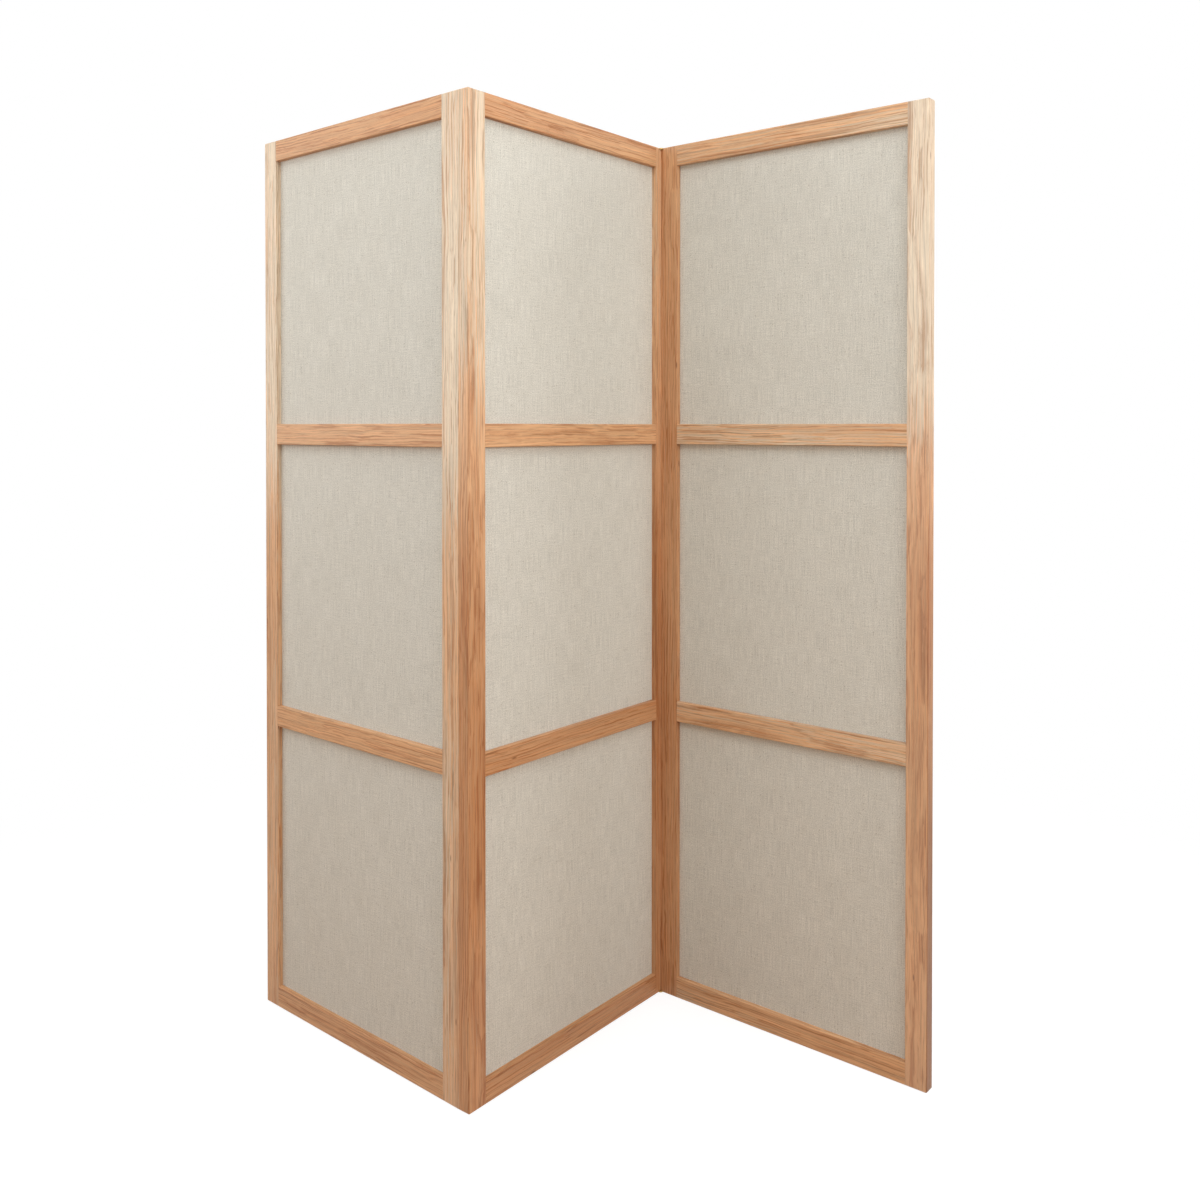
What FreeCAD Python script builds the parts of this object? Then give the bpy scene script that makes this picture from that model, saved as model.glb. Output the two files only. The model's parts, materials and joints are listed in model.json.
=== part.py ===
import FreeCAD, Part
import math
import os

# Three-panel folding screen in oak with recessed linen fields. Lengths are in millimetres, angles in degrees.
# +Z is up and the front faces -Y. The origin is on the floor, under the middle of the middle panel.

# Driving dimensions

# Each panel, and the face width that its stiles and rails share
SCREEN_HEIGHT = 1800.0
PANEL_WIDTH = 600.0
FRAME_THICKNESS = 25.0
MEMBER_WIDTH = 42.0
FIELD_NAMES = ("bottom", "middle", "top")
RAIL_NAMES = ("bottom", "lower", "upper", "top")

# Rounding of the free upright edges of a panel, and arrises, the flats planed off the other edges: round the
# ends of a panel, and along each side of a field. An arris on a stile would leave a notch beside each rail, so
# it stays very small. The upright edges that meet a neighbour stay sharp, so that a fold closes to a thin line.
EDGE_ROUNDING = 3.0
END_ARRIS = 1.5
RAIL_ARRIS = 1.0
STILE_ARRIS = 0.3

# How the screen stands, opened to its stops: the turn of the middle panel, and how far the end of each outer
# panel is planed out of square, so that it stops flat against the middle panel a little before the right angle
MIDDLE_STANDING_ANGLE = 52.0
LEFT_END_BEVEL = 2.5
RIGHT_END_BEVEL = 1.0
SQUARE = 90.0

# Stub tenon on each end of a rail, and the wood between its tip and a hinge screw
TENON_THICKNESS = 9.0
TENON_SHOULDER = 8.0
TENON_SCREW_WOOD = 7.0
TENON_CHAMFER = 1.0
MORTISE_FIT = 0.1
MORTISE_END_GAP = 1.0

# Linen-covered board in each field, held in a groove of the frame
BOARD_THICKNESS = 2.0
LINEN_THICKNESS = 0.5
GROOVE_BITE = 7.0
GROOVE_FIT = 0.1
BOARD_SHRINK_GAP = 0.8

# Where a fold turns: just off the faces that close on each other, at the corner where the two panels meet
AXIS_OFFSET = 0.5
END_GAP = 0.2

# Hinge leaf, let into the end of a stile, with a round eye of half its thickness about the fold's axis
LEAF_LENGTH = 22.0
LEAF_WIDTH = 13.0
LEAF_THICKNESS = 3.0
LEAF_EDGE_WOOD = 1.2
LEAF_SINK = 0.2
LEAF_FIT = 0.1
EYE_RADIUS = 5.0
EYE_RUN = 0.1
EYE_CLEARANCE = 0.4
EYE_RELIEF = 0.2
PIN_RADIUS = 1.5
PIN_RUN = 0.06

# Flat-headed screw, sunk into each leaf, whose fitted pocket keeps it from turning
SCREW_DISTANCE = 13.0
HEAD_RADIUS = 3.0
HEAD_HEIGHT = 1.6
HEAD_FIT = 0.1
SHANK_RADIUS = 1.8
SHANK_LENGTH = 20.0
SHANK_FIT = 0.05
DRIVE_SLOT_WIDTH = 0.8
DRIVE_SLOT_DEPTH = 0.6

# How far a cutting solid runs past the face that it opens, and how near counts as the same place
OVERRUN = 5.0
SAME_PLACE = 0.01

# Sizes that follow

FIELD_COUNT = len(FIELD_NAMES)
RAIL_LENGTH = PANEL_WIDTH - 2 * MEMBER_WIDTH
FIELD_HEIGHT = (SCREEN_HEIGHT - len(RAIL_NAMES) * MEMBER_WIDTH) / FIELD_COUNT
FIELD_PITCH = FIELD_HEIGHT + MEMBER_WIDTH
MID_DEPTH = FRAME_THICKNESS / 2

POCKET_DEPTH = LEAF_SINK + LEAF_THICKNESS
HALF_LEAF = LEAF_THICKNESS / 2
LEAF_NEAR = AXIS_OFFSET + LEAF_EDGE_WOOD
LEAF_FAR = LEAF_NEAR + LEAF_WIDTH

# How much wider an outer panel is at the far edge of its bevelled end
LEFT_LEAN = FRAME_THICKNESS * math.tan(math.radians(LEFT_END_BEVEL))
RIGHT_LEAN = FRAME_THICKNESS * math.tan(math.radians(RIGHT_END_BEVEL))

# The end plane of an outer panel lies this far past the axis
AXIS_INSET = AXIS_OFFSET - END_GAP
LEAF_START = LEAF_EDGE_WOOD - AXIS_INSET
LEAF_END = LEAF_START + LEAF_LENGTH

# The middle panel's hinge screws stand further from its end than the outer panels' do from theirs
SCREW_FROM_END = FRAME_THICKNESS + AXIS_OFFSET - SCREW_DISTANCE
TENON_LENGTH = MEMBER_WIDTH - SCREW_FROM_END - SHANK_RADIUS - TENON_SCREW_WOOD

HALF_TURN = 180.0
UP = FreeCAD.Vector(0, 0, 1)
ALONG = FreeCAD.Vector(1, 0, 0)


def point(x, y, z=0):
    return FreeCAD.Vector(x, y, z)


def moved(base, turn):
    """Placement that turns about the upright axis and then moves to a point."""
    return FreeCAD.Placement(base, FreeCAD.Rotation(UP, turn))


def placed(shape, placement):
    copy = shape.copy()
    copy.Placement = placement.multiply(copy.Placement)
    return copy


# Shared forms

# A panel is modelled standing in its own frame: x runs along its width, y from its front face to its back face,
# and z upwards from the floor.


def block(x_low, x_high, y_low, y_high, z_low, z_high):
    return Part.makeBox(x_high - x_low, y_high - y_low, z_high - z_low, point(x_low, y_low, z_low))


def panel_outside(corners, round_corners):
    """The outside of a whole panel from its corners seen from above, with an arris round its top and foot."""
    outline = [point(x, y) for x, y in corners]
    slab = Part.Face(Part.makePolygon(outline + outline[:1])).extrude(UP * SCREEN_HEIGHT)
    slab = slab.makeChamfer(END_ARRIS, [edge for edge in slab.Edges if edge.BoundBox.ZLength < SAME_PLACE])

    def is_round(edge):
        box = edge.BoundBox
        return box.XLength < SAME_PLACE and box.YLength < SAME_PLACE and any(
            abs(box.XMin - x) < SAME_PLACE and abs(box.YMin - y) < SAME_PLACE for x, y in round_corners)

    return slab.makeFillet(EDGE_ROUNDING, [edge for edge in slab.Edges if is_round(edge)])


def member_section(low, high, low_arris, high_arris, place):
    """A member's section with its two arrises. place turns (across, depth) into a point."""
    corners = [
        (low + low_arris, 0), (high - high_arris, 0),
        (high, high_arris), (high, FRAME_THICKNESS - high_arris),
        (high - high_arris, FRAME_THICKNESS), (low + low_arris, FRAME_THICKNESS),
        (low, FRAME_THICKNESS - low_arris), (low, low_arris),
    ]
    outline = [place(across, depth) for across, depth in dict.fromkeys(corners)]
    return Part.Face(Part.makePolygon(outline + outline[:1]))


def rail_base(index):
    """Height of the underside of a rail, counted from the bottom of the panel."""
    return index * FIELD_PITCH


def field_base(index):
    """Height of the lower edge of a field's opening."""
    return rail_base(index) + MEMBER_WIDTH


# Joinery: tenons, mortises and grooves

def tenon(rail_index, right_end):
    """Stub tenon at one end of a rail, with its two long leading edges chamfered."""
    z_low = rail_base(rail_index) + TENON_SHOULDER
    z_high = rail_base(rail_index) + MEMBER_WIDTH - TENON_SHOULDER
    y_low = MID_DEPTH - TENON_THICKNESS / 2
    root = PANEL_WIDTH - MEMBER_WIDTH if right_end else MEMBER_WIDTH
    tip = root + TENON_LENGTH if right_end else root - TENON_LENGTH
    solid = block(min(root, tip), max(root, tip), y_low, y_low + TENON_THICKNESS, z_low, z_high)
    leading = [edge for edge in solid.Edges if abs(edge.BoundBox.XMin - tip) < SAME_PLACE
               and edge.BoundBox.ZLength > SAME_PLACE and edge.BoundBox.XLength < SAME_PLACE]
    return solid.makeChamfer(TENON_CHAMFER, leading)


def mortise(rail_index, right_end):
    """The slot in a stile that takes a tenon, a little wider all round and a little deeper."""
    z_low = rail_base(rail_index) + TENON_SHOULDER - MORTISE_FIT
    z_high = rail_base(rail_index) + MEMBER_WIDTH - TENON_SHOULDER + MORTISE_FIT
    y_low = MID_DEPTH - TENON_THICKNESS / 2 - MORTISE_FIT
    y_high = MID_DEPTH + TENON_THICKNESS / 2 + MORTISE_FIT
    depth = TENON_LENGTH + MORTISE_END_GAP
    if right_end:
        mouth = PANEL_WIDTH - MEMBER_WIDTH
        return block(mouth - OVERRUN, mouth + depth, y_low, y_high, z_low, z_high)
    return block(MEMBER_WIDTH - depth, MEMBER_WIDTH + OVERRUN, y_low, y_high, z_low, z_high)


def board_groove(field_index):
    """The space that a linen-covered board takes in its frame. The board stands on the groove's lower side."""
    half_width = BOARD_THICKNESS / 2 + LINEN_THICKNESS + GROOVE_FIT
    side = GROOVE_BITE + BOARD_SHRINK_GAP
    z_low = field_base(field_index) - GROOVE_BITE
    z_high = field_base(field_index) + FIELD_HEIGHT + side
    return block(MEMBER_WIDTH - side, PANEL_WIDTH - MEMBER_WIDTH + side,
                 MID_DEPTH - half_width, MID_DEPTH + half_width, z_low, z_high)


# Corner hinge: leaves, pockets and screws

# Modelled about the fold's axis, with the pocket's floor at z 0. The leaf lies towards +x and +y of the axis.


SCREW_PLACE = point(SCREW_DISTANCE, (LEAF_NEAR + LEAF_FAR) / 2)


def round_bar(radius, z_low, z_high, place=point(0, 0)):
    """Upright cylinder about the fold's axis, or about another place."""
    return Part.makeCylinder(radius, z_high - z_low, place + UP * z_low)


def leaf_pocket():
    """The space in a stile for its own leaf and screw, and for the eyes that turn about the axis."""
    top = POCKET_DEPTH + OVERRUN
    bed = block(LEAF_START - LEAF_FIT, LEAF_END + LEAF_FIT, LEAF_NEAR - LEAF_FIT, LEAF_FAR + LEAF_FIT, 0, top)
    turning_space = round_bar(EYE_RADIUS + EYE_CLEARANCE, -EYE_RUN, top)
    pilot = round_bar(SHANK_RADIUS + SHANK_FIT, -SHANK_LENGTH - SHANK_FIT, HALF_LEAF, SCREW_PLACE)
    return bed.fuse([turning_space, pilot])


def leaf(has_pin):
    """A leaf. Its eye is the upper half if it carries the pin, or the lower half if it turns on the pin."""
    bar = block(LEAF_START, LEAF_END, LEAF_NEAR, LEAF_FAR, 0, LEAF_THICKNESS)
    plate = bar.fuse(round_bar(EYE_RADIUS, 0, LEAF_THICKNESS)).removeSplitter()
    lap = EYE_RADIUS + EYE_RELIEF
    if has_pin:
        plate = plate.cut(block(-lap, lap, -lap, lap, -OVERRUN, HALF_LEAF + EYE_RUN / 2))
        plate = plate.fuse(round_bar(PIN_RADIUS, 0, LEAF_THICKNESS)).removeSplitter()
    else:
        plate = plate.cut(block(-lap, lap, -lap, lap, HALF_LEAF - EYE_RUN / 2, LEAF_THICKNESS + OVERRUN))
        plate = plate.cut(round_bar(PIN_RADIUS + PIN_RUN, -OVERRUN, LEAF_THICKNESS))
    bore = round_bar(SHANK_RADIUS + SHANK_FIT, -OVERRUN, LEAF_THICKNESS, SCREW_PLACE)
    seat_floor = LEAF_THICKNESS - HEAD_HEIGHT
    seat = round_bar(HEAD_RADIUS + HEAD_FIT, seat_floor, LEAF_THICKNESS + OVERRUN, SCREW_PLACE)
    return plate.cut([bore, seat])


def leaf_screw():
    """Turned screw through a leaf, its head flush and its shank going down into the wood from z 0."""
    profile = Part.makePolygon([
        point(0, 0, -SHANK_LENGTH),
        point(SHANK_RADIUS, 0, -SHANK_LENGTH),
        point(SHANK_RADIUS, 0, LEAF_THICKNESS - HEAD_HEIGHT),
        point(HEAD_RADIUS, 0, LEAF_THICKNESS - HEAD_HEIGHT),
        point(HEAD_RADIUS, 0, LEAF_THICKNESS),
        point(0, 0, LEAF_THICKNESS),
        point(0, 0, -SHANK_LENGTH),
    ])
    screw = Part.Face(profile).revolve(point(0, 0), UP, 2 * HALF_TURN)
    slot = block(-HEAD_RADIUS - OVERRUN, HEAD_RADIUS + OVERRUN, -DRIVE_SLOT_WIDTH / 2, DRIVE_SLOT_WIDTH / 2,
                 LEAF_THICKNESS - DRIVE_SLOT_DEPTH, LEAF_THICKNESS + OVERRUN)
    return placed(screw.cut(slot), moved(SCREW_PLACE, 0))


def end_fitting(shape, hinge_place, at_top):
    """A hinge fitting at one edge of a panel, stood in the top pocket or mirrored into the bottom one."""
    if at_top:
        seat = point(0, 0, SCREEN_HEIGHT - POCKET_DEPTH)
    else:
        shape = shape.mirror(point(0, 0), UP)
        seat = point(0, 0, POCKET_DEPTH)
    return placed(placed(shape, moved(seat, 0)), hinge_place)


# Where the fold's axis lies in each panel's own frame. Half a turn about a panel's middle swaps its two ends.

RIGHT_HINGE = moved(point(AXIS_INSET, -AXIS_OFFSET), 0)
LEFT_HINGE = moved(point(PANEL_WIDTH - AXIS_INSET, FRAME_THICKNESS + AXIS_OFFSET), HALF_TURN)
MIDDLE_RIGHT_HINGE = moved(point(PANEL_WIDTH - FRAME_THICKNESS - AXIS_OFFSET, -AXIS_OFFSET), 0)
MIDDLE_LEFT_HINGE = moved(point(FRAME_THICKNESS + AXIS_OFFSET, FRAME_THICKNESS + AXIS_OFFSET), HALF_TURN)


# Members of one panel

def stile(right_end, outside, hinge_place=None):
    """Upright member, trimmed to its panel's outside. hinge_place is None on a stile without hinges."""
    if right_end:
        section = member_section(PANEL_WIDTH - MEMBER_WIDTH, PANEL_WIDTH + OVERRUN, STILE_ARRIS, 0, point)
    else:
        section = member_section(-OVERRUN, MEMBER_WIDTH, 0, STILE_ARRIS, point)
    solid = section.extrude(UP * SCREEN_HEIGHT).common(outside)
    cuts = [mortise(index, right_end) for index in range(len(RAIL_NAMES))]
    cuts += [board_groove(index) for index in range(FIELD_COUNT)]
    if hinge_place:
        cuts += [end_fitting(leaf_pocket(), hinge_place, at_top) for at_top in (False, True)]
    return solid.cut(cuts)


def rail(index):
    """Level member between the stiles, with a tenon on each end."""
    low = rail_base(index)
    low_arris = RAIL_ARRIS if index > 0 else END_ARRIS
    high_arris = RAIL_ARRIS if index < FIELD_COUNT else END_ARRIS

    def place(across, depth):
        return point(MEMBER_WIDTH, depth, across)

    solid = member_section(low, low + MEMBER_WIDTH, low_arris, high_arris, place).extrude(ALONG * RAIL_LENGTH)
    solid = solid.fuse([tenon(index, False), tenon(index, True)])
    grooves = [board_groove(field) for field in (index - 1, index) if 0 <= field < FIELD_COUNT]
    return solid.cut(grooves).removeSplitter()


def field_sheet(field_index, y_low, y_high):
    """A flat sheet of the board's outline, standing on the lower side of its groove."""
    return block(MEMBER_WIDTH - GROOVE_BITE, PANEL_WIDTH - MEMBER_WIDTH + GROOVE_BITE, y_low, y_high,
                 field_base(field_index) - GROOVE_BITE, field_base(field_index) + FIELD_HEIGHT + GROOVE_BITE)


def rails_and_fields(panel):
    """The rails, boards and linen of one panel by name."""
    pieces = {}
    for index, rail_name in enumerate(RAIL_NAMES):
        pieces[f"{panel}_{rail_name}_rail"] = rail(index)
    board_front = MID_DEPTH - BOARD_THICKNESS / 2
    board_back = MID_DEPTH + BOARD_THICKNESS / 2
    for index, field_name in enumerate(FIELD_NAMES):
        pieces[f"{panel}_{field_name}_board"] = field_sheet(index, board_front, board_back)
        front_linen = field_sheet(index, board_front - LINEN_THICKNESS, board_front)
        back_linen = field_sheet(index, board_back, board_back + LINEN_THICKNESS)
        pieces[f"{panel}_{field_name}_linen_front"] = front_linen
        pieces[f"{panel}_{field_name}_linen_back"] = back_linen
    return pieces


def leaf_screws(hinge_place):
    """The two screws that hold the top and bottom leaf of one stile."""
    return Part.makeCompound([end_fitting(leaf_screw(), hinge_place, at_top) for at_top in (True, False)])


# The outside of each panel, and which of its corners are free and so are rounded

FRONT_LEFT, FRONT_RIGHT = (0, 0), (PANEL_WIDTH, 0)
BACK_LEFT, BACK_RIGHT = (0, FRAME_THICKNESS), (PANEL_WIDTH, FRAME_THICKNESS)
LEFT_TIP = (PANEL_WIDTH + LEFT_LEAN, 0)
RIGHT_TIP = (-RIGHT_LEAN, FRAME_THICKNESS)

left_outside = panel_outside([FRONT_LEFT, LEFT_TIP, BACK_RIGHT, BACK_LEFT], [FRONT_LEFT, BACK_LEFT])
middle_outside = panel_outside([FRONT_LEFT, FRONT_RIGHT, BACK_RIGHT, BACK_LEFT], [FRONT_LEFT, BACK_RIGHT])
right_outside = panel_outside([FRONT_LEFT, FRONT_RIGHT, BACK_RIGHT, RIGHT_TIP], [FRONT_RIGHT, BACK_RIGHT])

# Every piece of each panel, in the panel's own frame

left_pieces = rails_and_fields("left")
left_pieces["left_outer_stile"] = stile(False, left_outside)
left_pieces["left_inner_stile"] = stile(True, left_outside, LEFT_HINGE)
left_pieces["left_leaf_screws"] = leaf_screws(LEFT_HINGE)

middle_pieces = rails_and_fields("middle")
middle_pieces["middle_left_stile"] = stile(False, middle_outside, MIDDLE_LEFT_HINGE)
middle_pieces["middle_right_stile"] = stile(True, middle_outside, MIDDLE_RIGHT_HINGE)
middle_pieces["middle_left_leaf_screws"] = leaf_screws(MIDDLE_LEFT_HINGE)
middle_pieces["middle_right_leaf_screws"] = leaf_screws(MIDDLE_RIGHT_HINGE)

right_pieces = rails_and_fields("right")
right_pieces["right_inner_stile"] = stile(False, right_outside, RIGHT_HINGE)
right_pieces["right_outer_stile"] = stile(True, right_outside)
right_pieces["right_leaf_screws"] = leaf_screws(RIGHT_HINGE)

for end, at_top in (("top", True), ("bottom", False)):
    pin_leaf, eye_leaf = leaf(True), leaf(False)
    middle_pieces[f"left_hinge_{end}_pin_leaf"] = end_fitting(pin_leaf, MIDDLE_LEFT_HINGE, at_top)
    middle_pieces[f"right_hinge_{end}_pin_leaf"] = end_fitting(pin_leaf, MIDDLE_RIGHT_HINGE, at_top)
    left_pieces[f"left_hinge_{end}_eye_leaf"] = end_fitting(eye_leaf, LEFT_HINGE, at_top)
    right_pieces[f"right_hinge_{end}_eye_leaf"] = end_fitting(eye_leaf, RIGHT_HINGE, at_top)


# Where the panels stand

def standing(turn, own_point, floor_point):
    """Placement that turns a panel and brings a point of its own frame to the floor point."""
    return moved(floor_point - FreeCAD.Rotation(UP, turn).multVec(own_point), turn)


MIDDLE_PLACE = standing(MIDDLE_STANDING_ANGLE, point(PANEL_WIDTH / 2, MID_DEPTH), point(0, 0))
LEFT_AXIS = MIDDLE_PLACE.multVec(MIDDLE_LEFT_HINGE.Base)
RIGHT_AXIS = MIDDLE_PLACE.multVec(MIDDLE_RIGHT_HINGE.Base)
AT_SQUARE = MIDDLE_STANDING_ANGLE - SQUARE
LEFT_PLACE = standing(AT_SQUARE - LEFT_END_BEVEL, LEFT_HINGE.Base, LEFT_AXIS)
RIGHT_PLACE = standing(AT_SQUARE - RIGHT_END_BEVEL, RIGHT_HINGE.Base, RIGHT_AXIS)

nodes = {}
for pieces, place in ((left_pieces, LEFT_PLACE), (middle_pieces, MIDDLE_PLACE), (right_pieces, RIGHT_PLACE)):
    for name, shape in pieces.items():
        nodes[name] = placed(shape, place)

os.makedirs("parts", exist_ok=True)
for name, shape in nodes.items():
    shape.exportStep(f"parts/{name}.step")

print(len(nodes), "nodes, valid:", all(shape.isValid() for shape in nodes.values()))
for label, axis in (("left", LEFT_AXIS), ("right", RIGHT_AXIS)):
    print(label, "fold axis", round(axis.x, 4), round(axis.y, 4))
print("field height", FIELD_HEIGHT)
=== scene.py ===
# %% [markdown]
# # A folding screen in oak and linen
# The real object is a room divider of three oak frames, each holding three recessed fields of natural
# linen. The frames come finished in shape from the CAD model, so this script gives them their wood,
# stretches the linen over the boards, ages the brass in the stile ends, and lights the screen as in a
# plain photo studio.

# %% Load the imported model
import json
import math

import bpy
from mathutils import Matrix, Vector


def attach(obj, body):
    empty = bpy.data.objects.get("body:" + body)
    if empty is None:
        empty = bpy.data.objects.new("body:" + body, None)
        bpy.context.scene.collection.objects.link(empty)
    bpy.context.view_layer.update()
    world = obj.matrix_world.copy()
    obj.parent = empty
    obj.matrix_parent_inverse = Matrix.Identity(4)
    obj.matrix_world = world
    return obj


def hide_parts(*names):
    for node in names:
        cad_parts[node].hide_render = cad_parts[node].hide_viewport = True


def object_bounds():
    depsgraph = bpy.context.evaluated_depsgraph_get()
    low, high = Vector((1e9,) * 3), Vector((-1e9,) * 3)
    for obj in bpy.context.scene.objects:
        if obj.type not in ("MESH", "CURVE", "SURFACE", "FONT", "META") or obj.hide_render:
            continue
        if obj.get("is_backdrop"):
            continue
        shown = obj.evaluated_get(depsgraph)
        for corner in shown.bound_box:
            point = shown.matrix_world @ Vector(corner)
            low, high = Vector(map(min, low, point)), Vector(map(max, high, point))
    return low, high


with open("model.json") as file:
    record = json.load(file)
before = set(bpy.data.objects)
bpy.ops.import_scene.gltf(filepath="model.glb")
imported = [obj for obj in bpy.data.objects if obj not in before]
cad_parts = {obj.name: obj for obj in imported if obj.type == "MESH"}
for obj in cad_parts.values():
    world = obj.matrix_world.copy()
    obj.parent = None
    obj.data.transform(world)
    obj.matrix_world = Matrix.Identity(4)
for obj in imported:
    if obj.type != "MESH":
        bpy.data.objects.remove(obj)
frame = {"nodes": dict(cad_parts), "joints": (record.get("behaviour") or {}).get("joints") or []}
cad_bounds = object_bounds()

# %% [markdown]
# ## Where the panels stand
# A board's grain and a cloth's weave follow the panel they belong to, and not the room. Each panel is
# therefore given its own frame: x along its width, y from its front face to its back face, z up. The
# middle panel stands on the room's origin, and the two outer panels hang on the folds that the CAD model
# names, so they can't drift from them.

# %% Sizes of a panel
PANEL_WIDTH = 0.6
FRAME_THICKNESS = 0.025
MEMBER_WIDTH = 0.042
SCREEN_HEIGHT = 1.8
MID_DEPTH = FRAME_THICKNESS / 2
FIELD_NAMES = ("bottom", "middle", "top")
RAIL_NAMES = ("bottom", "lower", "upper", "top")
FIELD_HEIGHT = (SCREEN_HEIGHT - len(RAIL_NAMES) * MEMBER_WIDTH) / len(FIELD_NAMES)
FIELD_PITCH = FIELD_HEIGHT + MEMBER_WIDTH
print("field height", round(FIELD_HEIGHT, 4))

# %% Frame of each panel
STANDING_TURNS = {"left": math.radians(-40.5), "middle": math.radians(52), "right": math.radians(-39)}
AXIS_OFFSET = 0.0005
AXIS_INSET = 0.0003
pivots = {joint["name"]: Vector(joint["pos_m"]) for joint in frame["joints"]}


def panel_place(turn, floor_point, own_point):
    """The matrix that takes a point of a panel's own frame into the room."""
    across, depth = own_point
    onto_floor = Matrix.Translation((floor_point.x, floor_point.y, 0))
    return onto_floor @ Matrix.Rotation(turn, 4, "Z") @ Matrix.Translation((-across, -depth, 0))


panel_places = {
    "left": panel_place(STANDING_TURNS["left"], pivots["left_fold"],
                        (PANEL_WIDTH - AXIS_INSET, FRAME_THICKNESS + AXIS_OFFSET)),
    "middle": panel_place(STANDING_TURNS["middle"], Vector((0, 0, 0)), (PANEL_WIDTH / 2, MID_DEPTH)),
    "right": panel_place(STANDING_TURNS["right"], pivots["right_fold"], (AXIS_INSET, -AXIS_OFFSET)),
}
for panel, place in panel_places.items():
    print(panel, "front left corner", [round(v, 4) for v in place @ Vector((0, 0, 0))])

# %% [markdown]
# ## Small helpers for node trees
# A procedural finish is a chain of small sums on the place of a point. These helpers keep the chains
# readable: one adds any node, some do a sum on a number or on a vector, one turns a range of values into
# a mask, and one draws noise that can be drawn out along an axis.

# %% Sums and masks
WHITE = (1.0, 1.0, 1.0, 1.0)


def node(tree, kind, inputs=None, **settings):
    """Adds a node. Each input is a plain value, or the socket that it takes its value from."""
    made = tree.nodes.new(kind)
    for name, value in settings.items():
        setattr(made, name, value)
    for name, value in (inputs or {}).items():
        if isinstance(value, bpy.types.NodeSocket):
            tree.links.new(value, made.inputs[name])
        else:
            made.inputs[name].default_value = value
    return made


def sum_of(tree, operation, first, second=0.0, third=0.0):
    """One step of arithmetic, such as MULTIPLY or ADD."""
    return node(tree, "ShaderNodeMath", {0: first, 1: second, 2: third}, operation=operation).outputs[0]


def added(tree, base, *parts):
    """A base, plus each part times its own amount."""
    for part, amount in parts:
        base = sum_of(tree, "MULTIPLY_ADD", part, amount, base)
    return base


def vector_sum(tree, operation, first, second):
    """One step of arithmetic on two vectors."""
    return node(tree, "ShaderNodeVectorMath", {0: first, 1: second}, operation=operation).outputs[0]


def length_of(tree, vector):
    """How long a vector is."""
    return node(tree, "ShaderNodeVectorMath", {0: vector}, operation="LENGTH").outputs["Value"]


def axis_of(tree, vector, axis):
    """One number of a vector: X, Y or Z."""
    return node(tree, "ShaderNodeSeparateXYZ", {0: vector}).outputs[axis]


def mask(tree, value, low, high, at_low=0.0, at_high=1.0):
    """A smooth step from at_low to at_high as value goes from low to high."""
    inputs = {"Value": value, "From Min": low, "From Max": high, "To Min": at_low, "To Max": at_high}
    return node(tree, "ShaderNodeMapRange", inputs, interpolation_type="SMOOTHSTEP").outputs["Result"]


# %% Noise and cells
def noise(tree, place, spots, detail=2.0, roughness=0.5, output="Fac"):
    """Cloudy noise from 0 to 1, in spots per metre along each axis. Few spots draw it out that way."""
    inputs = {"Vector": vector_sum(tree, "MULTIPLY", place, spots), "Scale": 1.0, "Detail": detail,
              "Roughness": roughness}
    return node(tree, "ShaderNodeTexNoise", inputs, noise_dimensions="3D").outputs[output]


def ripple(tree, place, spots, detail=2.0, roughness=0.5):
    """The same noise about 0, so that it darkens as much as it lightens."""
    return sum_of(tree, "SUBTRACT", noise(tree, place, spots, detail, roughness), 0.5)


def cells(tree, place, per_metre, dimensions):
    """Scattered points, so many per metre along each axis: the distance to the nearest, and its colour."""
    inputs = {"Vector": vector_sum(tree, "MULTIPLY", place, per_metre), "Scale": 1.0}
    return node(tree, "ShaderNodeTexVoronoi", inputs, voronoi_dimensions=dimensions, feature="F1").outputs

# %% [markdown]
# ## Small helpers for finishes
# A finish is a node group that several materials can call. It hands out a colour, a roughness and a
# height, and each material joins these to a shader of its own, the height as a fine relief.

# %% Colours, groups and materials
def srgb(red, green, blue):
    """A colour as it reads on a screen, from 0 to 255, turned into light."""
    levels = [value / 255 for value in (red, green, blue)]
    return (*[v / 12.92 if v <= 0.04045 else ((v + 0.055) / 1.055) ** 2.4 for v in levels], 1.0)


def blended(tree, factor, first, second, blend_type="MIX"):
    """Two colours mixed by a factor."""
    made = node(tree, "ShaderNodeMix", data_type="RGBA", blend_type=blend_type, clamp_factor=True)
    for index, value in ((0, factor), (6, first), (7, second)):
        if isinstance(value, bpy.types.NodeSocket):
            tree.links.new(value, made.inputs[index])
        else:
            made.inputs[index].default_value = value
    return made.outputs[2]


def shaded(tree, colour, amount):
    """A colour made lighter or darker: amount is 1 where it stays as it is."""
    grey = node(tree, "ShaderNodeCombineColor", {"Red": amount, "Green": amount, "Blue": amount})
    return blended(tree, 1.0, colour, grey.outputs["Color"], "MULTIPLY")


def new_finish(name, inputs):
    """An empty node group with named inputs, and the three outputs that every finish here has."""
    group = bpy.data.node_groups.new(name, "ShaderNodeTree")
    for label, kind in inputs.items():
        group.interface.new_socket(label, in_out="INPUT", socket_type="NodeSocket" + kind)
    for label, kind in (("Color", "Color"), ("Roughness", "Float"), ("Height", "Float")):
        group.interface.new_socket(label, in_out="OUTPUT", socket_type="NodeSocket" + kind)
    return group, group.nodes.new("NodeGroupInput").outputs


def close_finish(group, colour, roughness, height):
    """Leads the three results of a finish out of its group."""
    node(group, "NodeGroupOutput", {"Color": colour, "Roughness": roughness, "Height": height})
    print(group.name, "nodes:", len(group.nodes))
    return group


def new_material(name, **constants):
    """A material with its Principled shader, whose plain values are set on the shader's own sockets."""
    material = bpy.data.materials.new(name)
    material.use_nodes = True
    shader = material.node_tree.nodes["Principled BSDF"]
    for label, value in constants.items():
        shader.inputs[label.replace("_", " ")].default_value = value
    return material, material.node_tree, shader


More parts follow.
